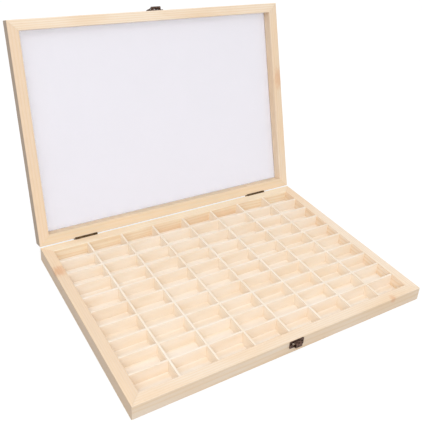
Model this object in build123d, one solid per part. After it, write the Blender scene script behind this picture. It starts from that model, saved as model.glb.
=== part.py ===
from build123d import *
import math
import os

# Shallow wooden display tray with a grid of compartments and a hinged, glazed lid.
# Millimetres, +Z up, +X to the right, the front faces -Y.
# The origin is the centre of the tray's underside, and the lid stands open.

# Tray
TRAY_WIDTH = 325.0
TRAY_DEPTH = 235.0
TRAY_HEIGHT = 15.0
RAIL_WIDTH = 11.0
BOTTOM_THICKNESS = 2.0
BOTTOM_REBATE = 4.0
WOOD_EDGE_RADIUS = 0.6

# Grid of compartments
COLUMNS = 8
ROWS = 10
DIVIDER_THICKNESS = 2.0
DIVIDER_DROP = 0.3
HALVING_CLEARANCE = 0.1

# Lid
LID_THICKNESS = 14.0
LID_RAIL_WIDTH = 11.0
RIM_GAP = 0.3
PANEL_THICKNESS = 1.5
PANEL_LIP = 1.0
PANEL_GROOVE = 4.0
PANEL_CLEARANCE = 0.3
OPEN_ANGLE = 107.0

# Small round-head wood screws
SCREW_HEAD_RADIUS = 1.3
SCREW_HEAD_HEIGHT = 0.9
SCREW_SHANK_RADIUS = 0.6
SCREW_LENGTH = 5.0
SCREW_SLOT_WIDTH = 0.4
SCREW_CLEARANCE = 0.05
SCREW_CROWN_RADIUS = 0.5

# Stop hinges, let in flush to the back
HINGE_INSET = 50.5
HINGE_WIDTH = 25.0
HINGE_LEAF_HEIGHT = 11.5
HINGE_SHEET = 0.8
HINGE_BARREL_RADIUS = 1.25
HINGE_PIN_RADIUS = 0.6
HINGE_SCREW_SPACING = 15.0
HINGE_SCREW_DROP = 7.5
KNUCKLE_CLEARANCE = 0.2
RUNNING_CLEARANCE = 0.05
STOP_REACH = 6.5
STOP_DROP = 9.0
STOP_GAP = 0.1
LEAF_CORNER_RADIUS = 1.6

# Hasp on the lid's front edge
HASP_PLATE_WIDTH = 17.0
HASP_PLATE_HEIGHT = 11.5
HASP_PLATE_LIFT = 1.0
HASP_SHEET = 0.8
HASP_AXIS_LIFT = 3.2
HASP_AXIS_STANDOFF = 3.0
HASP_BARREL_RADIUS = 1.5
HASP_PIN_RADIUS = 0.7
HASP_KNUCKLE_WIDTH = 5.6
HASP_SCREW_LIFT = 8.6
FLAP_SIDE_BAR = 1.6
FLAP_END_BAR = 1.8
FLAP_END_RADIUS = 2.0
FLAP_LIP_LENGTH = 3.0
FLAP_LIP_ANGLE = 50.0
FOLD_ANGLE = 190.0

# Catch on the tray's front
CATCH_WIDTH = 16.0
CATCH_HEIGHT = 8.0
CATCH_TOP_MARGIN = 0.7
CATCH_SCREW_SPACING = 12.0
CATCH_CORNER_RADIUS = 1.2
TONGUE_WIDTH = 7.0
TONGUE_HEIGHT = 5.6
TONGUE_STANDOFF = 4.6
TONGUE_SLOPE = 0.8
SLOT_CLEARANCE = 0.4

# How far a cutting shape reaches past what it cuts
CUT_MARGIN = 2.0

# How near two measures of an edge are when they count as the same
EDGE_MATCH = 0.01

# Places that follow from the sizes above
FRONT_Y = -TRAY_DEPTH / 2
BACK_Y = TRAY_DEPTH / 2
LID_BASE_Z = TRAY_HEIGHT + RIM_GAP
HINGE_SPACING = TRAY_WIDTH - 2 * HINGE_INSET
HINGE_AXIS_Y = BACK_Y - HINGE_SHEET + HINGE_BARREL_RADIUS
HINGE_AXIS_Z = TRAY_HEIGHT + RIM_GAP / 2
HASP_AXIS_Y = FRONT_Y - HASP_AXIS_STANDOFF
HASP_AXIS_Z = LID_BASE_Z + HASP_AXIS_LIFT
CATCH_Z = TRAY_HEIGHT - CATCH_TOP_MARGIN - CATCH_HEIGHT / 2
INNER_WIDTH = TRAY_WIDTH - 2 * RAIL_WIDTH
INNER_DEPTH = TRAY_DEPTH - 2 * RAIL_WIDTH
DIVIDER_TOP_Z = TRAY_HEIGHT - DIVIDER_DROP
DIVIDER_HEIGHT = DIVIDER_TOP_Z - BOTTOM_THICKNESS
CELL_WIDTH = (INNER_WIDTH - (COLUMNS - 1) * DIVIDER_THICKNESS) / COLUMNS
CELL_DEPTH = (INNER_DEPTH - (ROWS - 1) * DIVIDER_THICKNESS) / ROWS
HINGE_AXIS = Axis((0, HINGE_AXIS_Y, HINGE_AXIS_Z), (1, 0, 0))
HASP_AXIS = Axis((0, HASP_AXIS_Y, HASP_AXIS_Z), (1, 0, 0))

os.makedirs("parts", exist_ok=True)


def save(shape, node):
    """Write one sub-part to its own file."""
    export_step(shape, f"parts/{node}.step")
    print(f"{node}: {len(shape.solids())} solid(s), {shape.volume:.1f} mm3")


def slab(x_low, x_high, y_low, y_high, z_low, z_high):
    """A box given by its lowest and highest corners."""
    size = Box(x_high - x_low, y_high - y_low, z_high - z_low)
    return Pos((x_low + x_high) / 2, (y_low + y_high) / 2, (z_low + z_high) / 2) * size


def centred_slab(width, depth, z_low, z_high):
    """A box centred on the Z axis, between two heights."""
    return slab(-width / 2, width / 2, -depth / 2, depth / 2, z_low, z_high)


def rod(radius, x_low, x_high, y, z):
    """A round bar along X."""
    bar = Rot(0, 90, 0) * Cylinder(radius, x_high - x_low)
    return Pos((x_low + x_high) / 2, y, z) * bar


def side_profile(points, x_low, x_high):
    """A flat outline in the YZ plane, given as (y, z) points, thickened along X."""
    outline = make_face(Polyline([(x_low, y, z) for y, z in points], close=True))
    return extrude(outline, amount=x_high - x_low, dir=(1, 0, 0))


def opened(shape):
    """Swing a piece of the closed lid to where it stands open."""
    return shape.rotate(HINGE_AXIS, -OPEN_ANGLE)


def wooden_ring(width, depth, rail, z_low, z_high):
    """A rectangular wooden frame with eased edges, still in one piece."""
    ring = centred_slab(width, depth, z_low, z_high)
    ring -= centred_slab(width - 2 * rail, depth - 2 * rail, z_low, z_high)
    outer = [e for e in ring.edges() if abs(abs(e.center().X) - width / 2) < EDGE_MATCH
             or abs(abs(e.center().Y) - depth / 2) < EDGE_MATCH]
    inner = [e for e in ring.edges() if e not in outer
             and abs(e.center().Z - (z_low + z_high) / 2) > EDGE_MATCH]
    return fillet(outer + inner, WOOD_EDGE_RADIUS)


def mitred_rails(ring, width, depth, rail):
    """Saw a frame into its four mitred rails."""
    past = CUT_MARGIN
    reach = rail + past
    half_w = width / 2
    half_d = depth / 2
    low = min(v.Z for v in ring.vertices()) - past
    high = max(v.Z for v in ring.vertices()) + past
    rails = {}
    for name, side in (("front", -1), ("back", 1)):
        corners = [(-half_w - past, side * (half_d + past)), (half_w + past, side * (half_d + past)),
                   (half_w - reach, side * (half_d - reach)), (-half_w + reach, side * (half_d - reach))]
        rails[name] = ring & saw_block(corners, low, high)
    for name, side in (("left", -1), ("right", 1)):
        corners = [(side * (half_w + past), -half_d - past), (side * (half_w + past), half_d + past),
                   (side * (half_w - reach), half_d - reach), (side * (half_w - reach), -half_d + reach)]
        rails[name] = ring & saw_block(corners, low, high)
    return rails


def saw_block(corners, z_low, z_high):
    """An upright prism over an outline given as (x, y) points."""
    outline = make_face(Polyline([(x, y, z_low) for x, y in corners], close=True))
    return extrude(outline, amount=z_high - z_low, dir=(0, 0, 1))


def screw(x, y, z, facing):
    """A slotted round-head screw whose head sits on a face that looks along Y (facing -1 or 1)."""
    head = Cylinder(SCREW_HEAD_RADIUS, SCREW_HEAD_HEIGHT, align=(Align.CENTER, Align.CENTER, Align.MIN))
    crown = head.edges().filter_by(GeomType.CIRCLE).sort_by(Axis.Z)[-1]
    head = fillet(crown, SCREW_CROWN_RADIUS)
    slot = Box(2 * SCREW_HEAD_RADIUS + CUT_MARGIN, SCREW_SLOT_WIDTH, SCREW_SLOT_WIDTH)
    head -= Pos(0, 0, SCREW_HEAD_HEIGHT) * slot
    shank = Cylinder(SCREW_SHANK_RADIUS, SCREW_LENGTH, align=(Align.CENTER, Align.CENTER, Align.MAX))
    return Pos(x, y, z) * Rot(-90 * facing, 0, 0) * (head + shank)


def screw_hole(x, y, z, facing):
    """The hole that a screw of the same place goes in, open past its head."""
    radius = SCREW_SHANK_RADIUS + SCREW_CLEARANCE
    depth = SCREW_LENGTH + SCREW_CLEARANCE
    bore = Pos(0, 0, (SCREW_HEAD_HEIGHT - depth) / 2) * Cylinder(radius, depth + SCREW_HEAD_HEIGHT)
    return Pos(x, y, z) * Rot(-90 * facing, 0, 0) * bore


# Screw places, each as x, y of the face under the head, z, and the way the head looks
def hinge_screw_places(side, up):
    """The two screws of one hinge leaf: side is -1 or 1, up is -1 for the tray and 1 for the lid."""
    z = HINGE_AXIS_Z + up * HINGE_SCREW_DROP
    middle = side * HINGE_SPACING / 2
    return [(middle + end * HINGE_SCREW_SPACING / 2, BACK_Y, z, 1) for end in (-1, 1)]


CATCH_SCREW_PLACES = [(end * CATCH_SCREW_SPACING / 2, FRONT_Y - HASP_SHEET, CATCH_Z, -1)
                      for end in (-1, 1)]
FLAP_WIDTH = TONGUE_WIDTH + 2 * SLOT_CLEARANCE + 2 * FLAP_SIDE_BAR
HASP_SCREW_X = (FLAP_WIDTH / 2 + HASP_PLATE_WIDTH / 2) / 2
HASP_SCREW_PLACES = [(end * HASP_SCREW_X, FRONT_Y - HASP_SHEET, LID_BASE_Z + HASP_SCREW_LIFT, -1)
                     for end in (-1, 1)]


def all_screws(places):
    """One group of separate screws."""
    return Compound(children=[screw(*place) for place in places])


def drilled(shape, places):
    """Drill a piece for its screws."""
    for place in places:
        shape -= screw_hole(*place)
    return shape


# Shallow recesses that the hinges are let into
def leaf_blank(side, up):
    """The flat of one hinge leaf, from the axis outwards: up is -1 for the tray and 1 for the lid."""
    left = side * HINGE_SPACING / 2 - HINGE_WIDTH / 2
    edge = HINGE_AXIS_Z + up * HINGE_LEAF_HEIGHT
    blank = slab(left, left + HINGE_WIDTH, BACK_Y - HINGE_SHEET, BACK_Y,
                 min(edge, HINGE_AXIS_Z), max(edge, HINGE_AXIS_Z))
    corners = blank.edges().filter_by(Axis.Y).group_by(Axis.Z)[0 if up < 0 else -1]
    return fillet(corners, LEAF_CORNER_RADIUS)


def let_in_hinges(ring, up):
    """Cut the recesses for both leaves and for the barrels that turn beside them."""
    swing = HINGE_BARREL_RADIUS + KNUCKLE_CLEARANCE
    reach = HINGE_WIDTH / 2 + KNUCKLE_CLEARANCE
    for side in (-1, 1):
        middle = side * HINGE_SPACING / 2
        ring -= leaf_blank(side, up)
        ring -= rod(swing, middle - reach, middle + reach, HINGE_AXIS_Y, HINGE_AXIS_Z)
    return ring


# Tray frame and bottom
def tray_rails():
    ring = wooden_ring(TRAY_WIDTH, TRAY_DEPTH, RAIL_WIDTH, 0, TRAY_HEIGHT)
    ring = let_in_hinges(ring - bottom_panel(), -1)
    places = hinge_screw_places(-1, -1) + hinge_screw_places(1, -1) + CATCH_SCREW_PLACES
    return mitred_rails(drilled(ring, places), TRAY_WIDTH, TRAY_DEPTH, RAIL_WIDTH)


def bottom_panel():
    return centred_slab(INNER_WIDTH + 2 * BOTTOM_REBATE, INNER_DEPTH + 2 * BOTTOM_REBATE, 0, BOTTOM_THICKNESS)


# Dividers, halved into each other where they cross
def column_x(index):
    """Middle of a column divider, counted from the left."""
    return -INNER_WIDTH / 2 + index * (CELL_WIDTH + DIVIDER_THICKNESS) - DIVIDER_THICKNESS / 2


def row_y(index):
    """Middle of a row divider, counted from the front."""
    return -INNER_DEPTH / 2 + index * (CELL_DEPTH + DIVIDER_THICKNESS) - DIVIDER_THICKNESS / 2


NOTCH_HALF = (DIVIDER_THICKNESS + HALVING_CLEARANCE) / 2
HALVING_Z = BOTTOM_THICKNESS + DIVIDER_HEIGHT / 2


def row_divider(index):
    """A strip from side to side, notched from above for every column divider."""
    y = row_y(index)
    strip = slab(-INNER_WIDTH / 2, INNER_WIDTH / 2, y - DIVIDER_THICKNESS / 2, y + DIVIDER_THICKNESS / 2,
                 BOTTOM_THICKNESS, DIVIDER_TOP_Z)
    for column in range(1, COLUMNS):
        x = column_x(column)
        strip -= slab(x - NOTCH_HALF, x + NOTCH_HALF, y - DIVIDER_THICKNESS, y + DIVIDER_THICKNESS,
                      HALVING_Z, DIVIDER_TOP_Z + CUT_MARGIN)
    return strip


def column_divider(index):
    """A strip from front to back, notched from below for every row divider."""
    x = column_x(index)
    strip = slab(x - DIVIDER_THICKNESS / 2, x + DIVIDER_THICKNESS / 2, -INNER_DEPTH / 2, INNER_DEPTH / 2,
                 BOTTOM_THICKNESS, DIVIDER_TOP_Z)
    for row in range(1, ROWS):
        y = row_y(row)
        strip -= slab(x - DIVIDER_THICKNESS, x + DIVIDER_THICKNESS, y - NOTCH_HALF, y + NOTCH_HALF,
                      BOTTOM_THICKNESS - CUT_MARGIN, HALVING_Z)
    return strip


# Lid frame and window, made closed
PANEL_TOP_Z = LID_BASE_Z + LID_THICKNESS - PANEL_LIP
PANEL_BASE_Z = PANEL_TOP_Z - PANEL_THICKNESS
LID_INNER_WIDTH = TRAY_WIDTH - 2 * LID_RAIL_WIDTH
LID_INNER_DEPTH = TRAY_DEPTH - 2 * LID_RAIL_WIDTH


def lid_rails():
    ring = wooden_ring(TRAY_WIDTH, TRAY_DEPTH, LID_RAIL_WIDTH, LID_BASE_Z, LID_BASE_Z + LID_THICKNESS)
    ring = let_in_hinges(ring, 1)
    groove = 2 * (PANEL_GROOVE + PANEL_CLEARANCE)
    ring -= centred_slab(LID_INNER_WIDTH + groove, LID_INNER_DEPTH + groove, PANEL_BASE_Z, PANEL_TOP_Z)
    places = hinge_screw_places(-1, 1) + hinge_screw_places(1, 1) + HASP_SCREW_PLACES
    return mitred_rails(drilled(ring, places), TRAY_WIDTH, TRAY_DEPTH, LID_RAIL_WIDTH)


def window_panel():
    return centred_slab(LID_INNER_WIDTH + 2 * PANEL_GROOVE, LID_INNER_DEPTH + 2 * PANEL_GROOVE,
                        PANEL_BASE_Z, PANEL_TOP_Z)


# Hinges: the tray leaf has the two outer knuckles, the lid leaf the middle one
def knuckle_spans(side):
    """The x ranges of the three knuckles of one hinge, from left to right."""
    left = side * HINGE_SPACING / 2 - HINGE_WIDTH / 2
    pitch = HINGE_WIDTH / 3
    return [(left + i * pitch, left + (i + 1) * pitch) for i in range(3)]


def hinge_leaf(side, up, own, other):
    """One leaf: up is -1 for the tray and 1 for the lid, own and other are knuckle spans."""
    leaf = leaf_blank(side, up)
    for x_low, x_high in own:
        leaf += rod(HINGE_BARREL_RADIUS, x_low, x_high, HINGE_AXIS_Y, HINGE_AXIS_Z)
    swing = HINGE_BARREL_RADIUS + KNUCKLE_CLEARANCE
    for x_low, x_high in other:
        leaf -= rod(swing, x_low - KNUCKLE_CLEARANCE, x_high + KNUCKLE_CLEARANCE,
                    HINGE_AXIS_Y, HINGE_AXIS_Z)
    return leaf


def stop_ear(x_low):
    """A bent ear of the tray leaf that the open lid leaf lands on."""
    tilt = math.radians(OPEN_ANGLE - 90)
    rest = HINGE_BARREL_RADIUS - HINGE_SHEET - STOP_GAP
    foot_y = HINGE_SHEET - HINGE_BARREL_RADIUS
    top_y = HINGE_BARREL_RADIUS / 2

    def rest_z(y):
        return (rest - y * math.sin(tilt)) / math.cos(tilt)

    outline = [(foot_y, -STOP_DROP), (foot_y, -HINGE_BARREL_RADIUS / 2), (top_y, rest_z(top_y)),
               (STOP_REACH, rest_z(STOP_REACH)), (STOP_REACH, rest_z(STOP_REACH) - HINGE_SHEET)]
    placed = [(HINGE_AXIS_Y + y, HINGE_AXIS_Z + z) for y, z in outline]
    return side_profile(placed, x_low, x_low + HINGE_SHEET)


def tray_leaf(side):
    first, middle, last = knuckle_spans(side)
    own = [(first[0], first[1] - KNUCKLE_CLEARANCE / 2), (last[0] + KNUCKLE_CLEARANCE / 2, last[1])]
    leaf = hinge_leaf(side, -1, own, [middle])
    leaf += stop_ear(first[0]) + stop_ear(last[1] - HINGE_SHEET)
    leaf -= rod(HINGE_PIN_RADIUS, first[0] - CUT_MARGIN, last[1] + CUT_MARGIN, HINGE_AXIS_Y, HINGE_AXIS_Z)
    return drilled(leaf, hinge_screw_places(side, -1))


def lid_leaf(side):
    first, middle, last = knuckle_spans(side)
    own = [(middle[0] + KNUCKLE_CLEARANCE / 2, middle[1] - KNUCKLE_CLEARANCE / 2)]
    leaf = hinge_leaf(side, 1, own, [first, last])
    bore = HINGE_PIN_RADIUS + RUNNING_CLEARANCE
    leaf -= rod(bore, first[0] - CUT_MARGIN, last[1] + CUT_MARGIN, HINGE_AXIS_Y, HINGE_AXIS_Z)
    return drilled(leaf, hinge_screw_places(side, 1))


def hinge_pin(side):
    left = side * HINGE_SPACING / 2 - HINGE_WIDTH / 2
    return rod(HINGE_PIN_RADIUS, left, left + HINGE_WIDTH, HINGE_AXIS_Y, HINGE_AXIS_Z)


# Catch: a plate with two screw ears and a raised tongue between them
def catch_plate():
    z_low = CATCH_Z - CATCH_HEIGHT / 2
    z_high = CATCH_Z + CATCH_HEIGHT / 2
    plate = slab(-CATCH_WIDTH / 2, CATCH_WIDTH / 2, FRONT_Y - HASP_SHEET, FRONT_Y, z_low, z_high)
    plate = fillet(plate.edges().filter_by(Axis.Y), CATCH_CORNER_RADIUS)
    foot = FRONT_Y - HASP_SHEET / 2
    crest = FRONT_Y - TONGUE_STANDOFF
    under = crest + HASP_SHEET
    half = TONGUE_HEIGHT / 2
    hollow_half = half - HASP_SHEET
    outside = [(foot, CATCH_Z - half), (crest, CATCH_Z - half + TONGUE_SLOPE),
               (crest, CATCH_Z + half - TONGUE_SLOPE), (foot, CATCH_Z + half)]
    tongue = side_profile(outside, -TONGUE_WIDTH / 2, TONGUE_WIDTH / 2)
    crest_edges = tongue.edges().filter_by(Axis.X).sort_by(Axis.Y)[:2]
    tongue = fillet(crest_edges, HASP_SHEET)
    inside = [(FRONT_Y, CATCH_Z - hollow_half), (under, CATCH_Z - hollow_half + TONGUE_SLOPE),
              (under, CATCH_Z + hollow_half - TONGUE_SLOPE), (FRONT_Y, CATCH_Z + hollow_half)]
    hollow = side_profile(inside, -TONGUE_WIDTH / 2 - CUT_MARGIN, TONGUE_WIDTH / 2 + CUT_MARGIN)
    return drilled(plate + tongue - hollow, CATCH_SCREW_PLACES)


# Hasp: a plate with two outer knuckles, a pin and a swinging flap, made latched
def hasp_plate():
    z_low = LID_BASE_Z + HASP_PLATE_LIFT
    z_high = z_low + HASP_PLATE_HEIGHT
    plate = slab(-HASP_PLATE_WIDTH / 2, HASP_PLATE_WIDTH / 2, FRONT_Y - HASP_SHEET, FRONT_Y, z_low, z_high)
    plate = fillet(plate.edges().filter_by(Axis.Y), LEAF_CORNER_RADIUS)
    inner = HASP_KNUCKLE_WIDTH / 2 + KNUCKLE_CLEARANCE / 2
    for side in (-1, 1):
        x_low, x_high = sorted((side * inner, side * FLAP_WIDTH / 2))
        plate += rod(HASP_BARREL_RADIUS, x_low, x_high, HASP_AXIS_Y, HASP_AXIS_Z)
        plate += slab(x_low, x_high, HASP_AXIS_Y, FRONT_Y - HASP_SHEET / 2,
                      HASP_AXIS_Z - HASP_BARREL_RADIUS, HASP_AXIS_Z + HASP_BARREL_RADIUS)
    plate -= rod(HASP_PIN_RADIUS, -FLAP_WIDTH, FLAP_WIDTH, HASP_AXIS_Y, HASP_AXIS_Z)
    return drilled(plate, HASP_SCREW_PLACES)


def hasp_pin():
    return rod(HASP_PIN_RADIUS, -FLAP_WIDTH / 2, FLAP_WIDTH / 2, HASP_AXIS_Y, HASP_AXIS_Z)


def hasp_flap():
    """The latched flap, hanging from its pin with the tongue of the catch in its slot."""
    slot_high = HASP_AXIS_Z - (CATCH_Z + TONGUE_HEIGHT / 2) - SLOT_CLEARANCE
    slot_low = HASP_AXIS_Z - (CATCH_Z - TONGUE_HEIGHT / 2) + SLOT_CLEARANCE
    length = slot_low + FLAP_END_BAR
    half = HASP_SHEET / 2
    web_top = HASP_AXIS_Z - HASP_BARREL_RADIUS - KNUCKLE_CLEARANCE
    web = slab(-FLAP_WIDTH / 2, FLAP_WIDTH / 2, HASP_AXIS_Y - half, HASP_AXIS_Y + half,
               HASP_AXIS_Z - length, web_top)
    web = fillet(web.edges().filter_by(Axis.Y).group_by(Axis.Z)[-1], half)
    knuckle = HASP_KNUCKLE_WIDTH / 2
    flap = web + rod(HASP_BARREL_RADIUS, -knuckle, knuckle, HASP_AXIS_Y, HASP_AXIS_Z)
    flap += slab(-knuckle, knuckle, HASP_AXIS_Y - half, HASP_AXIS_Y + half, web_top - half, HASP_AXIS_Z)
    turn = math.radians(FLAP_LIP_ANGLE)
    lip_y = -FLAP_LIP_LENGTH * math.sin(turn)
    lip_z = -FLAP_LIP_LENGTH * math.cos(turn)
    across_y = half * math.cos(turn)
    across_z = half * math.sin(turn)
    bend = HASP_AXIS_Z - length
    outline = [(HASP_AXIS_Y - half, bend + half), (HASP_AXIS_Y + half, bend + half),
               (HASP_AXIS_Y + half, bend),
               (HASP_AXIS_Y + lip_y + across_y, bend + lip_z - across_z),
               (HASP_AXIS_Y + lip_y - across_y, bend + lip_z + across_z)]
    lip = side_profile(outline, -FLAP_WIDTH / 2, FLAP_WIDTH / 2)
    tips = [e for e in lip.edges() if abs(e.length - HASP_SHEET) < EDGE_MATCH]
    tips.sort(key=lambda e: e.center().Z)
    flap += fillet(tips[:2], FLAP_END_RADIUS)
    slot_half = FLAP_WIDTH / 2 - FLAP_SIDE_BAR
    flap -= slab(-slot_half, slot_half, HASP_AXIS_Y - HASP_SHEET, HASP_AXIS_Y + HASP_SHEET,
                 HASP_AXIS_Z - slot_low, HASP_AXIS_Z - slot_high)
    flap -= rod(HASP_PIN_RADIUS + RUNNING_CLEARANCE, -FLAP_WIDTH, FLAP_WIDTH, HASP_AXIS_Y, HASP_AXIS_Z)
    return flap


# Write every sub-part
for name, rail in tray_rails().items():
    save(rail, f"tray_{name}_rail")
save(bottom_panel(), "bottom_panel")
for row in range(1, ROWS):
    save(row_divider(row), f"row_divider_{row}")
for column in range(1, COLUMNS):
    save(column_divider(column), f"column_divider_{column}")
save(catch_plate(), "catch_plate")
save(all_screws(CATCH_SCREW_PLACES), "catch_screws")

for name, rail in lid_rails().items():
    save(opened(rail), f"lid_{name}_rail")
save(opened(window_panel()), "window_panel")
save(opened(hasp_plate()), "hasp_plate")
save(opened(all_screws(HASP_SCREW_PLACES)), "hasp_screws")
save(opened(hasp_pin()), "hasp_pin")
save(opened(hasp_flap().rotate(HASP_AXIS, -FOLD_ANGLE)), "hasp_flap")

for name, side in (("left", -1), ("right", 1)):
    save(tray_leaf(side), f"{name}_hinge_tray_leaf")
    save(opened(lid_leaf(side)), f"{name}_hinge_lid_leaf")
    save(hinge_pin(side), f"{name}_hinge_pin")
    save(all_screws(hinge_screw_places(side, -1)), f"{name}_hinge_tray_screws")
    save(opened(all_screws(hinge_screw_places(side, 1))), f"{name}_hinge_lid_screws")
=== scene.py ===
# %% [markdown]
# Film display box, opened
#
# This file dresses a shallow wooden display box. The solids come from CAD and are the frame of the
# scene: four tray rails, a bottom, a grid of divider strips, a lid frame with a clear sheet, two
# hinges, a catch and a hasp. They stand where they belong already, in metres, so the lesson is
# about the camera, the light and above all the finishes: planed pine, sawn basswood, peeled
# plywood, cast acrylic and bronzed steel.

import math

import bpy
from mathutils import Matrix, Vector


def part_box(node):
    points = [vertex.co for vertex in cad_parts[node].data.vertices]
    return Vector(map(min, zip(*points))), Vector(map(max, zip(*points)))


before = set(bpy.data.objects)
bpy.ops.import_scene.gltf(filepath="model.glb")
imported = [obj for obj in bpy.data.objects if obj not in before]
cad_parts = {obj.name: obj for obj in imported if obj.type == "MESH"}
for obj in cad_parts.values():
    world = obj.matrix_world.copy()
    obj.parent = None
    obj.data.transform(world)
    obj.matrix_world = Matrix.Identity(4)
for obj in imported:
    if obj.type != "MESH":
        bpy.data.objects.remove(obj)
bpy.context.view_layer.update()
MM = 0.001

# %% [markdown]
# The camera comes first, because every later choice is judged through it. A photograph gives away
# its camera by how straight edges of a known size run together: the tray is a rectangle 325 mm by
# 235 mm, so its four corners and the lid's four corners fix where the lens was. Here the camera
# stood in front of the box and to its left, looked down by about 26 degrees and was turned a
# little about its own axis. The middle of the lens isn't the middle of the picture, as when a
# picture is cropped afterwards. The camera's shift is made for that.

# %% Camera
# The lens in pixels of the picture, its place in metres, and its turns to the right, down and
# about its own axis in radians.
PICTURE = 422
FOCAL_PIXELS = 627.37
LENS_MIDDLE = (242.53, 152.85)
LENS_PLACE = Vector((-0.30784, -0.43969, 0.41577))
TURN, TILT, ROLL = 0.6143, 0.4590, 0.0967
SENSOR_WIDTH = 36
NEAREST = 10 * MM

ahead = Vector((math.sin(TURN) * math.cos(TILT), math.cos(TURN) * math.cos(TILT), -math.sin(TILT)))
level_right = ahead.cross(Vector((0, 0, 1))).normalized()
level_up = level_right.cross(ahead)
right = level_right * math.cos(ROLL) + level_up * math.sin(ROLL)
up = level_up * math.cos(ROLL) - level_right * math.sin(ROLL)

camera = bpy.data.objects.new("camera", bpy.data.cameras.new("camera"))
bpy.context.scene.collection.objects.link(camera)
turned = Matrix((right, up, -ahead)).transposed().to_4x4()
camera.matrix_world = Matrix.Translation(LENS_PLACE) @ turned
camera.data.sensor_width = SENSOR_WIDTH
camera.data.lens = SENSOR_WIDTH * FOCAL_PIXELS / PICTURE
camera.data.shift_x = (PICTURE / 2 - LENS_MIDDLE[0]) / PICTURE
camera.data.shift_y = (LENS_MIDDLE[1] - PICTURE / 2) / PICTURE
camera.data.clip_start = NEAREST
bpy.context.scene.camera = camera
print(f"lens {camera.data.lens:.1f} mm, shift {camera.data.shift_x:.3f}, {camera.data.shift_y:.3f}")
print(f"a pixel covers {LENS_PLACE.length / FOCAL_PIXELS / MM:.1f} mm at the middle of the tray")

# %% [markdown]
# Three small helpers serve every material. Colours are chosen as people see and write them, as
# sRGB hex values, while a renderer adds light up in linear values, so the first helper turns one
# into the other. The second adds a node, sets its options and plugs in its inputs, which keeps
# each material readable as a short recipe from top to bottom. The third starts a new material.

# %% Helpers for materials
# A Mix node has sockets for several kinds of value. These are the places of its colour sockets.
COLOUR_A, COLOUR_B, MIXED = 6, 7, 2


def linear(code):
    """An sRGB hex colour as the linear RGBA that a shader works in."""
    parts = [int(code[i:i + 2], 16) / 255 for i in (1, 3, 5)]
    return tuple(p / 12.92 if p <= 0.04045 else ((p + 0.055) / 1.055) ** 2.4 for p in parts) + (1.0,)


def add(tree, kind, inputs=None, **options):
    """A new node with its options set and its inputs linked or given a value."""
    node = tree.nodes.new(kind)
    for name, value in options.items():
        setattr(node, name, value)
    for name, value in (inputs or {}).items():
        if isinstance(value, bpy.types.NodeSocket):
            tree.links.new(value, node.inputs[name])
        else:
            node.inputs[name].default_value = value
    return node


def new_material(name):
    """An empty node material, its tree, and the output that is alone in it."""
    material = bpy.data.materials.new(name)
    material.use_nodes = True
    material.node_tree.nodes.clear()
    return material, material.node_tree, add(material.node_tree, "ShaderNodeOutputMaterial")


print("pale pine as linear light:", [round(v, 3) for v in linear("#F5DEC3")])

# %% [markdown]
# Wood is a bundle of fibres laid in yearly rings round a pith, and a board shows whatever cut the
# saw made through them. A flat picture of grain would break at each corner of a board. So the
# pattern is made in three dimensions and the board is cut out of it: the coordinates are turned
# until X runs along the board, and moved to a different place in the plank for each board. The
# lid's boards are laid flat first, by the angle at which it stands open.

# %% Coordinates of a board
LID_ANGLE = math.radians(107)


def board_millimetres(tree, across, lid, place):
    """The point on the piece in mm, with X along the grain, at this place in the plank."""
    point = add(tree, "ShaderNodeTexCoord").outputs["Object"]
    if lid:
        point = add(tree, "ShaderNodeVectorRotate", {"Vector": point, "Angle": LID_ANGLE},
                    rotation_type="X_AXIS").outputs["Vector"]
    if across:
        point = add(tree, "ShaderNodeVectorRotate", {"Vector": point, "Angle": math.pi / 2},
                    rotation_type="Z_AXIS").outputs["Vector"]
    return add(tree, "ShaderNodeVectorMath", {0: point, 1: (1 / MM,) * 3, 2: place},
               operation="MULTIPLY_ADD").outputs["Vector"]


print(f"the lid's boards are laid flat by {math.degrees(LID_ANGLE):.0f} degrees")

# %% [markdown]
# Rings are circles round the X axis, bent a little by slow noise. On a face that the circles meet
# steeply they show as straight lines, on a flat one as long tongues, as on a real board. Everything
# finer is noise drawn out along the grain.
#
# A pixel covers about a millimetre. Rings 2.2 mm apart, a common spacing in pine, just show at
# that size. Single fibres are a few hundredths of a millimetre wide and can't, so bundles of them
# are drawn 0.35 mm wide: a fine grain from nearer by, and a slight unevenness from here.

# %% Streaks and rings
# From ring to ring, and how long, wide and high their bends are, in mm.
PINE_RING = 2.2
BEND_LENGTH, BEND_WIDTH, BEND_HEIGHT = 140, 14, 5.0
# Blender's wave texture repeats after this many units at a scale of 1.
WAVE_REPEAT = math.pi / 10


def grain_streaks(tree, point, length, width, detail=2.0):
    """A cloudy pattern drawn out along the grain: streaks of about this length and width in mm."""
    scaled = add(tree, "ShaderNodeVectorMath", {0: point, 1: (1 / length, 1 / width, 1 / width)},
                 operation="MULTIPLY").outputs["Vector"]
    noise = add(tree, "ShaderNodeTexNoise", {"Vector": scaled, "Scale": 1.0, "Detail": detail})
    return noise.outputs["Fac"]


def growth_rings(tree, point, spacing):
    """1 on the dark late wood of each yearly ring and 0 in the pale early wood."""
    slow = grain_streaks(tree, point, BEND_LENGTH, BEND_WIDTH, detail=1.0)
    bend = add(tree, "ShaderNodeMath", {0: slow, 1: BEND_HEIGHT}, operation="MULTIPLY").outputs["Value"]
    lifted = add(tree, "ShaderNodeCombineXYZ", {"Y": bend, "Z": bend}).outputs["Vector"]
    bent = add(tree, "ShaderNodeVectorMath", {0: point, 1: lifted}, operation="ADD").outputs["Vector"]
    wave = add(tree, "ShaderNodeTexWave", {"Vector": bent, "Scale": WAVE_REPEAT / spacing},
               wave_type="RINGS", rings_direction="X").outputs["Fac"]
    return add(tree, "ShaderNodeMapRange", {"Value": wave, "From Min": 0.45, "From Max": 1.0},
               interpolation_type="SMOOTHSTEP").outputs["Result"]


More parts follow.
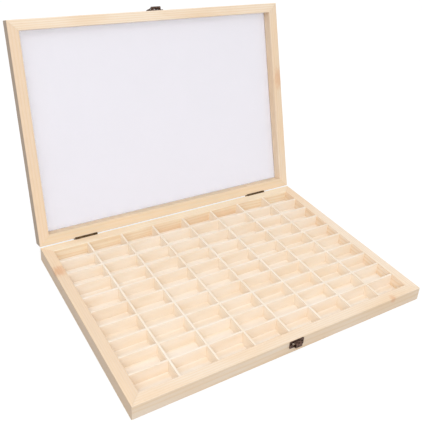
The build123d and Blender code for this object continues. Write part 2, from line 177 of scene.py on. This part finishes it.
print(f"a ring every {PINE_RING} mm needs a wave scale of {WAVE_REPEAT / PINE_RING:.4f}")

# %% [markdown]
# The frames of box and lid are pine, planed and sanded but left without oil or lacquer. The colour
# is a pale cream that leans to pink in places, in clouds about 90 mm long, and the late wood is a
# shade more golden. Short brown lines about 5 mm long and 0.3 mm wide are the resin ducts that
# mark pine.

# %% Colour of bare wood
DUCT_BROWN = "#C79A6B"


def two_tones(tree, point, pale, warm, length, width, start):
    """Pale wood that turns to warm wood in clouds of this length and width in mm."""
    cloud = grain_streaks(tree, point, length, width)
    share = add(tree, "ShaderNodeMapRange", {"Value": cloud, "From Min": start, "From Max": 0.75},
                interpolation_type="SMOOTHSTEP").outputs["Result"]
    return add(tree, "ShaderNodeMix", {"Factor": share, COLOUR_A: linear(pale), COLOUR_B: linear(warm)},
               data_type="RGBA").outputs[MIXED]


def shaded_by_fibres(tree, colour, fibres, darkest, lightest):
    """The colour made a little darker or lighter from fibre to fibre."""
    shade = add(tree, "ShaderNodeMapRange", {"Value": fibres, "From Min": 0.3, "From Max": 0.7,
                                             "To Min": darkest, "To Max": lightest}).outputs["Result"]
    return add(tree, "ShaderNodeVectorMath", {0: colour, "Scale": shade},
               operation="SCALE").outputs["Vector"]


def with_resin_ducts(tree, colour, point):
    """The colour with the short brown ducts of pine."""
    noise = grain_streaks(tree, point, length=5.0, width=0.3, detail=1.0)
    ducts = add(tree, "ShaderNodeMapRange", {"Value": noise, "From Min": 0.70, "From Max": 0.78,
                                             "To Max": 0.35},
                interpolation_type="SMOOTHSTEP").outputs["Result"]
    return add(tree, "ShaderNodeMix", {"Factor": ducts, COLOUR_A: colour, COLOUR_B: linear(DUCT_BROWN)},
               data_type="RGBA").outputs[MIXED]


print("resin duct as linear light:", [round(v, 3) for v in linear(DUCT_BROWN)])

# %% [markdown]
# Knots are rare in such clear pine. Three are drawn, where the real boards have them. A knot has
# rings of its own, but they are finer than a pixel here, so a soft orange spot with a ragged rim
# is enough, and the rings of the board don't need to know of it.

# %% Knots
KNOT_ORANGE = "#DE9F6C"
RAGGEDNESS = 1.1


def with_knots(tree, colour, point, knots):
    """The wood's colour with knots: (middle in mm on the object, radii in mm, strength) for each."""
    on_object = add(tree, "ShaderNodeTexCoord").outputs["Object"]
    for middle, radii, strength in knots:
        offset = add(tree, "ShaderNodeVectorMath", {0: on_object, 1: [-m * MM for m in middle]},
                     operation="ADD").outputs["Vector"]
        scaled = add(tree, "ShaderNodeVectorMath", {0: offset, 1: [1 / (r * MM) for r in radii]},
                     operation="MULTIPLY").outputs["Vector"]
        far = add(tree, "ShaderNodeVectorMath", {0: scaled}, operation="LENGTH").outputs["Value"]
        frayed = grain_streaks(tree, point, length=5.0, width=1.5)
        ragged = add(tree, "ShaderNodeMath", {0: frayed, 1: RAGGEDNESS, 2: far},
                     operation="MULTIPLY_ADD").outputs["Value"]
        mark = add(tree, "ShaderNodeMapRange", {"Value": ragged, "From Min": 0.8, "From Max": 1.6,
                                                "To Min": strength, "To Max": 0.0},
                   interpolation_type="SMOOTHSTEP").outputs["Result"]
        colour = add(tree, "ShaderNodeMix", {"Factor": mark, COLOUR_A: colour,
                                             COLOUR_B: linear(KNOT_ORANGE)},
                     data_type="RGBA").outputs[MIXED]
    return colour


print("knot as linear light:", [round(v, 3) for v in linear(KNOT_ORANGE)])

# %% [markdown]
# The outer left sides of tray and lid are darker than the light alone makes them, so those two
# boards get painted shade: a tint multiplied into the colour of the side that faces left. The tint
# asks which way the piece itself faces, so it stays with the board in every view and every pose.
#
# Sanding rounds the sharp edges by a fraction of a millimetre, so the edges get a rounded normal,
# and how far that normal has turned tells where the edges are drawn in a paler tone.

# %% Painted shade on the left side, and eased edges
OUTER_LEFT = (-1, 0, 0)
STILL_FLAT, WELL_ROUNDED = 0.99, 0.80


def with_painted_left_shade(tree, colour, tint):
    """The colour times a tint of painted shade on the side that faces left."""
    normal = add(tree, "ShaderNodeTexCoord").outputs["Normal"]
    facing = add(tree, "ShaderNodeVectorMath", {0: normal, 1: OUTER_LEFT},
                 operation="DOT_PRODUCT").outputs["Value"]
    side = add(tree, "ShaderNodeMapRange", {"Value": facing, "From Min": 0.7,
                                            "From Max": 0.9}).outputs["Result"]
    return add(tree, "ShaderNodeMix", {"Factor": side, COLOUR_A: colour, COLOUR_B: linear(tint)},
               data_type="RGBA", blend_type="MULTIPLY").outputs[MIXED]


def eased_edges(tree, radius):
    """The normal with edges rounded by radius mm, and how near a point is to one, from 0 to 1."""
    eased = add(tree, "ShaderNodeBevel", {"Radius": radius * MM}, samples=4).outputs["Normal"]
    flat = add(tree, "ShaderNodeNewGeometry").outputs["Normal"]
    alike = add(tree, "ShaderNodeVectorMath", {0: eased, 1: flat},
                operation="DOT_PRODUCT").outputs["Value"]
    near = add(tree, "ShaderNodeMapRange", {"Value": alike, "From Min": STILL_FLAT,
                                            "From Max": WELL_ROUNDED},
               interpolation_type="SMOOTHSTEP").outputs["Result"]
    return eased, near


turns = [round(math.degrees(math.acos(v))) for v in (STILL_FLAT, WELL_ROUNDED)]
print("an edge shows from a turn of", turns[0], "degrees and is at its palest from", turns[1])

# %% [markdown]
# Bare sanded wood scatters light almost evenly, so it is rough, about 0.6, with the usual IOR of
# 1.5 for the little sheen that fibres keep. One function builds that surface for every wood of
# the box. The next one puts a whole material together from the steps above.

# %% Surface of bare wood
FIBRE_IOR = 1.5


def bare_wood_surface(tree, output, colour, fibres, height, eased, depth, smoothest, roughest):
    """A matt shader with bumps depth mm high, and with fibres that differ in roughness."""
    roughness = add(tree, "ShaderNodeMapRange", {"Value": fibres, "From Min": 0.25, "From Max": 0.75,
                                                 "To Min": smoothest,
                                                 "To Max": roughest}).outputs["Result"]
    normal = add(tree, "ShaderNodeBump", {"Height": height, "Distance": depth * MM, "Strength": 0.8,
                                          "Normal": eased}).outputs["Normal"]
    shader = add(tree, "ShaderNodeBsdfPrincipled", {"Base Color": colour, "Roughness": roughness,
                                                    "IOR": FIBRE_IOR, "Normal": normal})
    tree.links.new(shader.outputs["BSDF"], output.inputs["Surface"])


mirrored = ((FIBRE_IOR - 1) / (FIBRE_IOR + 1)) ** 2
print(f"seen straight on, wood mirrors {mirrored:.0%} of the light")

# %% Wood with growth rings
PALE_EDGE_TONE = "#FBEBD6"


def ringed_wood(name, place, pale, warm="#F5DABB", late="#EDCFA6", spacing=PINE_RING, contrast=0.45,
                across=False, lid=False, left_shade_tint=None, knots=()):
    """Bare wood with growth rings. left_shade_tint is the tint of painted shade on the side that faces
    left.
    """
    material, tree, output = new_material(name)
    point = board_millimetres(tree, across, lid, place)
    rings = growth_rings(tree, point, spacing)
    fibres = grain_streaks(tree, point, length=14.0, width=0.35, detail=3.0)

    colour = two_tones(tree, point, pale, warm, length=90.0, width=22.0, start=0.35)
    late_wood = add(tree, "ShaderNodeMath", {0: rings, 1: contrast},
                    operation="MULTIPLY").outputs["Value"]
    colour = add(tree, "ShaderNodeMix", {"Factor": late_wood, COLOUR_A: colour, COLOUR_B: linear(late)},
                 data_type="RGBA").outputs[MIXED]
    colour = shaded_by_fibres(tree, colour, fibres, darkest=0.955, lightest=1.02)
    colour = with_resin_ducts(tree, colour, point)
    colour = with_knots(tree, colour, point, knots)
    # Painted shade on the side that faces left, for the boards that have a tint for it.
    if left_shade_tint:
        colour = with_painted_left_shade(tree, colour, left_shade_tint)

    eased, edge = eased_edges(tree, radius=0.5)
    # Edges drawn in a paler tone.
    half_edge = add(tree, "ShaderNodeMath", {0: edge, 1: 0.5}, operation="MULTIPLY").outputs["Value"]
    colour = add(tree, "ShaderNodeMix", {"Factor": half_edge, COLOUR_A: colour,
                                         COLOUR_B: linear(PALE_EDGE_TONE)},
                 data_type="RGBA").outputs[MIXED]
    height = add(tree, "ShaderNodeMath", {0: fibres, 1: rings}, operation="ADD").outputs["Value"]
    bare_wood_surface(tree, output, colour, fibres, height, eased, depth=0.03, smoothest=0.52,
                      roughest=0.68)
    return material


print("sanded edge as linear light:", [round(v, 3) for v in linear(PALE_EDGE_TONE)])

# %% [markdown]
# Each rail is sawn from a place of its own in the plank, so no two look alike, and each has its
# own pale tone, because real boards differ more from each other than within themselves. The darker
# tones of the left rails also paint the shade of light that falls off towards the left. The side
# rails have their grain from front to back. A finished material goes into the slots that a piece
# already has, and the piece itself stays as it is.

# %% Rails of planed pine
# For each rail: its place in the plank in mm, and its own pale tone, which on the left rails also holds
# painted shade.
RAILS = {
    "tray_front": ((40, 31, 20), "#F6E4CF"),
    "tray_back": ((310, -26, 33), "#FCEED6"),
    "tray_left": ((90, 38, -27), "#EED6BC"),
    "tray_right": ((500, -31, 24), "#F8E7D3"),
    "lid_front": ((700, 33, -21), "#FDEBD5"),
    "lid_back": ((150, -29, 30), "#E9D4B7"),
    "lid_left": ((820, 27, 34), "#F3D9BD"),
    "lid_right": ((410, -36, -28), "#F4E0C8"),
}
# Tints of painted shade for the outer left sides of tray and lid.
PAINTED_LEFT_SHADE_TINTS = {"tray_left": "#ECECEE", "lid_left": "#BFBFC3"}
# For each knot: its middle and its radii in mm, and how strong its colour is.
KNOTS = {
    "tray_left": [((-157.6, 71.6, 15), (9, 11, 8), 0.55)],
    "tray_front": [((124.3, -119, 15), (5, 9, 6), 0.5)],
    "lid_right": [((159, 160, 150.5), (8, 12, 19), 0.45)],
}


def wear(material, *nodes):
    """Puts a material in the slots of CAD pieces."""
    for node in nodes:
        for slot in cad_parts[node].material_slots:
            slot.material = material


for rail, (place, pale) in RAILS.items():
    pine = ringed_wood(f"planed_pine_{rail}", place, pale, across=rail.endswith(("left", "right")),
                       lid=rail.startswith("lid"), left_shade_tint=PAINTED_LEFT_SHADE_TINTS.get(rail),
                       knots=KNOTS.get(rail, ()))
    wear(pine, f"{rail}_rail")
print("rails of pine:", len(RAILS), "knots:", sum(len(knots) for knots in KNOTS.values()))

# %% [markdown]
# The divider strips are basswood, a plainer and whiter wood than pine: hardly any rings, fine even
# fibres, and faint marks across the strip where the saw passed. They are cut from thin stock and
# left as sawn, each from a place of its own. Their ends and tops are only just eased by sandpaper.
# The steps for pine serve here too, without rings, ducts and knots. The fibres are drawn as
# bundles again, 0.3 mm wide.

# %% Sawn basswood
# Teeth of a fine saw leave their marks about a millimetre apart.
TOOTH_MARK = 1.1
BASSWOOD_WARM = "#F9E9D4"


def sawn_basswood(name, place, across, pale):
    """Pale strips straight from the saw."""
    material, tree, output = new_material(name)
    point = board_millimetres(tree, across, lid=False, place=place)
    fibres = grain_streaks(tree, point, length=9.0, width=0.3, detail=3.0)
    colour = two_tones(tree, point, pale, BASSWOOD_WARM, length=45.0, width=12.0, start=0.3)
    colour = shaded_by_fibres(tree, colour, fibres, darkest=0.965, lightest=1.015)
    teeth = add(tree, "ShaderNodeTexWave", {"Vector": point, "Scale": WAVE_REPEAT / TOOTH_MARK,
                                            "Distortion": 1.5, "Detail": 1.0},
                wave_type="BANDS", bands_direction="X").outputs["Fac"]
    height = add(tree, "ShaderNodeMath", {0: teeth, 1: 0.35, 2: fibres},
                 operation="MULTIPLY_ADD").outputs["Value"]
    eased, _ = eased_edges(tree, radius=0.35)
    bare_wood_surface(tree, output, colour, fibres, height, eased, depth=0.04, smoothest=0.60,
                      roughest=0.75)
    return material


print(f"a saw mark every {TOOTH_MARK} mm needs a wave scale of {WAVE_REPEAT / TOOTH_MARK:.4f}")

# %% Divider strips
# For each kind: whether it runs across, its pale tone, and the first place in the plank and the
# step to the next one, in mm.
STRIPS = {
    "row_divider": (False, "#FDF2E4", (0, 0, 0), (37, 5, 11)),
    "column_divider": (True, "#FCF0E0", (20, 0, 60), (53, 7, 13)),
}
for kind, (across, pale, first, step) in STRIPS.items():
    strips = sorted(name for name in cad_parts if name.startswith(kind))
    for number, strip in enumerate(strips):
        place = [start + number * more for start, more in zip(first, step)]
        wear(sawn_basswood(f"sawn_basswood_{strip}", place, across, pale), strip)
    print(f"{kind} strips of basswood:", len(strips))

# %% [markdown]
# The bottom is thin plywood. Its face was peeled off a turning log like paper off a roll, so the
# knife met each ring at a glancing angle and the figure is broad and wavy. The same ring recipe
# gives that when the rings are spaced wide and their middle lies 70 mm under the sheet. The short
# brown flecks in it are drawn like the ducts of pine.

# %% Peeled plywood
PLYWOOD_RING = 9.0
PLYWOOD_PLACE = (60, 4, 70)
wear(ringed_wood("peeled_birch_plywood", PLYWOOD_PLACE, "#FFF7EC", warm="#FDF1E2", late="#F7E5CC",
                 spacing=PLYWOOD_RING, contrast=0.5), "bottom_panel")
print(f"bottom of plywood, with a ring every {PLYWOOD_RING} mm")

# %% [markdown]
# The window is a thin sheet of acrylic, cast between plates and therefore smooth. Clear acrylic
# would be full transmission with an IOR of 1.49 and next to no roughness. This one is a little
# milky: a transmission of 0.7 leaves 0.3 of a pale surface that scatters light, so against white
# it looks pale grey with a breath of violet, and what stands behind it shows only faintly. Real
# sheets aren't quite even, so a cloud of dust, in patches 30 mm wide and smaller, stirs the
# roughness and the colour. For shadows the sheet is plain see-through, because a renderer would
# otherwise treat it as a solid wall.

# %% Cast acrylic
DUST_PATCH = 30
CLEAN_TONE, DUSTY_TONE, SHADOW_TONE = "#F2F0F6", "#F1EFF5", "#F4F3F8"


def cast_acrylic(name):
    """A slightly milky and very slightly tinted sheet."""
    material, tree, output = new_material(name)
    point = add(tree, "ShaderNodeTexCoord").outputs["Object"]
    dust = add(tree, "ShaderNodeTexNoise", {"Vector": point, "Scale": 1 / (DUST_PATCH * MM),
                                            "Detail": 4.0}).outputs["Fac"]
    roughness = add(tree, "ShaderNodeMapRange", {"Value": dust, "From Min": 0.4, "From Max": 0.75,
                                                 "To Min": 0.04, "To Max": 0.07}).outputs["Result"]
    colour = add(tree, "ShaderNodeMix", {"Factor": dust, COLOUR_A: linear(CLEAN_TONE),
                                         COLOUR_B: linear(DUSTY_TONE)},
                 data_type="RGBA").outputs[MIXED]
    shader = add(tree, "ShaderNodeBsdfPrincipled", {"Base Color": colour, "Roughness": roughness,
                                                    "IOR": 1.49, "Transmission Weight": 0.7})
    clear = add(tree, "ShaderNodeBsdfTransparent", {"Color": linear(SHADOW_TONE)})
    shadow = add(tree, "ShaderNodeLightPath").outputs["Is Shadow Ray"]
    either = add(tree, "ShaderNodeMixShader", {0: shadow, 1: shader.outputs["BSDF"],
                                               2: clear.outputs["BSDF"]})
    tree.links.new(either.outputs["Shader"], output.inputs["Surface"])
    return material


wear(cast_acrylic("cast_acrylic_sheet"), "window_panel")
low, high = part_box("window_panel")
print(f"window of acrylic from {low[2] / MM:.1f} to {high[2] / MM:.1f} mm above the table")

# %% [markdown]
# Hinges, catch, hasp and screws are stamped steel with an antique bronze plating: blackened in a
# bath and then brushed, so that raised edges are brown and bright while flats and corners stay
# nearly black. It is a metal, so metallic is 1 and its colour is the colour of its reflection. A
# rounded normal tells where the edges are, and noise of about a millimetre makes the blackening
# patchy. The plating's own grit is finer than a tenth of a millimetre and is drawn at a quarter,
# so that it shows from nearer by. The hinges are a yellower brown than the clasp.

# %% Bronzed steel
# How wide the patches of blackening and the grains of grit are, in mm.
PATINA_PATCH, GRIT = 1.2, 0.25


def bronzed_steel(name, dark, brown, bright="#987F6E"):
    """Antique bronze plating, rubbed back at the edges."""
    material, tree, output = new_material(name)
    point = add(tree, "ShaderNodeTexCoord").outputs["Object"]
    patina = add(tree, "ShaderNodeTexNoise", {"Vector": point, "Scale": 1 / (PATINA_PATCH * MM),
                                              "Detail": 3.0}).outputs["Fac"]
    brushed = add(tree, "ShaderNodeMapRange", {"Value": patina, "From Min": 0.35, "From Max": 0.65},
                  interpolation_type="SMOOTHSTEP").outputs["Result"]
    colour = add(tree, "ShaderNodeMix", {"Factor": brushed, COLOUR_A: linear(dark),
                                         COLOUR_B: linear(brown)},
                 data_type="RGBA").outputs[MIXED]
    eased, edge = eased_edges(tree, radius=0.25)
    rubbed = add(tree, "ShaderNodeMath", {0: edge, 1: 0.7}, operation="MULTIPLY").outputs["Value"]
    colour = add(tree, "ShaderNodeMix", {"Factor": rubbed, COLOUR_A: colour,
                                         COLOUR_B: linear(bright)},
                 data_type="RGBA").outputs[MIXED]
    roughness = add(tree, "ShaderNodeMapRange", {"Value": patina, "From Min": 0.3, "From Max": 0.7,
                                                 "To Min": 0.48, "To Max": 0.34}).outputs["Result"]
    grit = add(tree, "ShaderNodeTexNoise", {"Vector": point, "Scale": 1 / (GRIT * MM),
                                            "Detail": 2.0}).outputs["Fac"]
    normal = add(tree, "ShaderNodeBump", {"Height": grit, "Distance": 0.02 * MM, "Strength": 0.6,
                                          "Normal": eased}).outputs["Normal"]
    shader = add(tree, "ShaderNodeBsdfPrincipled", {"Base Color": colour, "Metallic": 1.0,
                                                    "Roughness": roughness, "Normal": normal})
    tree.links.new(shader.outputs["BSDF"], output.inputs["Surface"])
    return material


hinges = [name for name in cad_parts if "hinge" in name]
clasp = [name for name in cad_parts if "hasp" in name or "catch" in name]
wear(bronzed_steel("brushed_bronze_plating_of_hinges", dark="#3A2C1E", brown="#7D6447"), *hinges)
wear(bronzed_steel("blackened_bronze_plating_of_hasp", dark="#33271F", brown="#785E53"), *clasp)
print("pieces of hardware:", len(hinges) + len(clasp))

# %% [markdown]
# The picture was taken on white and cut out, so the floor and the air around are white too. More
# lamp light would reach white as well, but it would bleach the wood. So white is made for the eye
# only: where a ray comes straight from the lens, or by way of metal or the clear sheet, the floor
# adds just enough of its own light to reach white, and the world is white. The light that falls
# on the box is separate and plain. The floor still darkens under the box, so the box stands on
# something.

# %% Floor
FLOOR_HALF = 6.0
FLOOR_GAP = 0.1 * MM
FLOOR_GREY = "#989898"
FLOOR_LIFT = 0.76
WHITE = "#FFFFFF"


def seen_directly(tree):
    """1 for a ray from the lens, from a reflection or through the sheet, and 0 for lighting."""
    path = add(tree, "ShaderNodeLightPath")
    first = add(tree, "ShaderNodeMath", {0: path.outputs["Is Camera Ray"],
                                         1: path.outputs["Is Glossy Ray"]},
                operation="MAXIMUM").outputs["Value"]
    return add(tree, "ShaderNodeMath", {0: first, 1: path.outputs["Is Transmission Ray"]},
               operation="MAXIMUM").outputs["Value"]


corners = [(-FLOOR_HALF, -FLOOR_HALF, 0), (FLOOR_HALF, -FLOOR_HALF, 0),
           (FLOOR_HALF, FLOOR_HALF, 0), (-FLOOR_HALF, FLOOR_HALF, 0)]
floor_mesh = bpy.data.meshes.new("floor")
floor_mesh.from_pydata(corners, [], [(0, 1, 2, 3)])
floor = bpy.data.objects.new("floor", floor_mesh)
floor.location.z = -FLOOR_GAP
bpy.context.scene.collection.objects.link(floor)

material, tree, output = new_material("white_paper_floor")
matt = add(tree, "ShaderNodeBsdfDiffuse", {"Color": linear(FLOOR_GREY)})
lift = add(tree, "ShaderNodeMath", {0: seen_directly(tree), 1: FLOOR_LIFT},
           operation="MULTIPLY").outputs["Value"]
glow = add(tree, "ShaderNodeEmission", {"Color": linear(WHITE), "Strength": lift})
total = add(tree, "ShaderNodeAddShader", {0: matt.outputs["BSDF"], 1: glow.outputs["Emission"]})
tree.links.new(total.outputs["Shader"], output.inputs["Surface"])
floor.data.materials.append(material)
print(f"floor {2 * FLOOR_HALF:.0f} m wide, {FLOOR_GAP / MM:.1f} mm under the box")

# %% [markdown]
# Pale air fills the scene from all sides, and one large soft lamp stands high in front of the box
# and to its left. The lamp makes the lid brightest, the tops and the front a step darker and the
# left sides darker still. Their levels are set so that a surface in the light shows about the
# colour that it was given.

# %% Air
AIR_LEVEL = 0.80
world = bpy.data.worlds.new("studio")
bpy.context.scene.world = world
world.use_nodes = True
tree = world.node_tree
tree.nodes.clear()
dim = add(tree, "ShaderNodeBackground", {"Color": linear(WHITE), "Strength": AIR_LEVEL})
white = add(tree, "ShaderNodeBackground", {"Color": linear(WHITE), "Strength": 1.0})
either = add(tree, "ShaderNodeMixShader", {0: seen_directly(tree), 1: dim.outputs["Background"],
                                           2: white.outputs["Background"]})
add(tree, "ShaderNodeOutputWorld", {"Surface": either.outputs["Shader"]})
floor_level = AIR_LEVEL * linear(FLOOR_GREY)[0] + FLOOR_LIFT
print(f"the floor in this air shows at {floor_level:.2f}, where 1 is white")

# %% Lamp
LAMP_LEVEL, LAMP_DISTANCE, LAMP_SIZE = 0.41, 1.6, 1.2
LAMP_TURN, LAMP_HEIGHT = math.radians(-30), math.radians(42)
toward_lamp = Vector((math.sin(LAMP_TURN) * math.cos(LAMP_HEIGHT),
                      -math.cos(LAMP_TURN) * math.cos(LAMP_HEIGHT), math.sin(LAMP_HEIGHT)))
lamp = bpy.data.objects.new("softbox", bpy.data.lights.new("softbox", "AREA"))
lamp.data.size = LAMP_SIZE
# A square lamp of this power lights a surface that faces it to LAMP_LEVEL times its own colour.
lamp.data.energy = LAMP_LEVEL * math.pi ** 2 * LAMP_DISTANCE ** 2
lamp.location = toward_lamp * LAMP_DISTANCE
lamp.rotation_euler = toward_lamp.to_track_quat("Z", "Y").to_euler()
bpy.context.scene.collection.objects.link(lamp)
print(f"lamp of {lamp.data.energy:.1f} W at {LAMP_DISTANCE} m")

# %% [markdown]
# The view transform is Standard, so that a colour comes out as it was written, and no other
# setting of the view is touched.

# %% View
bpy.context.scene.view_settings.view_transform = "Standard"
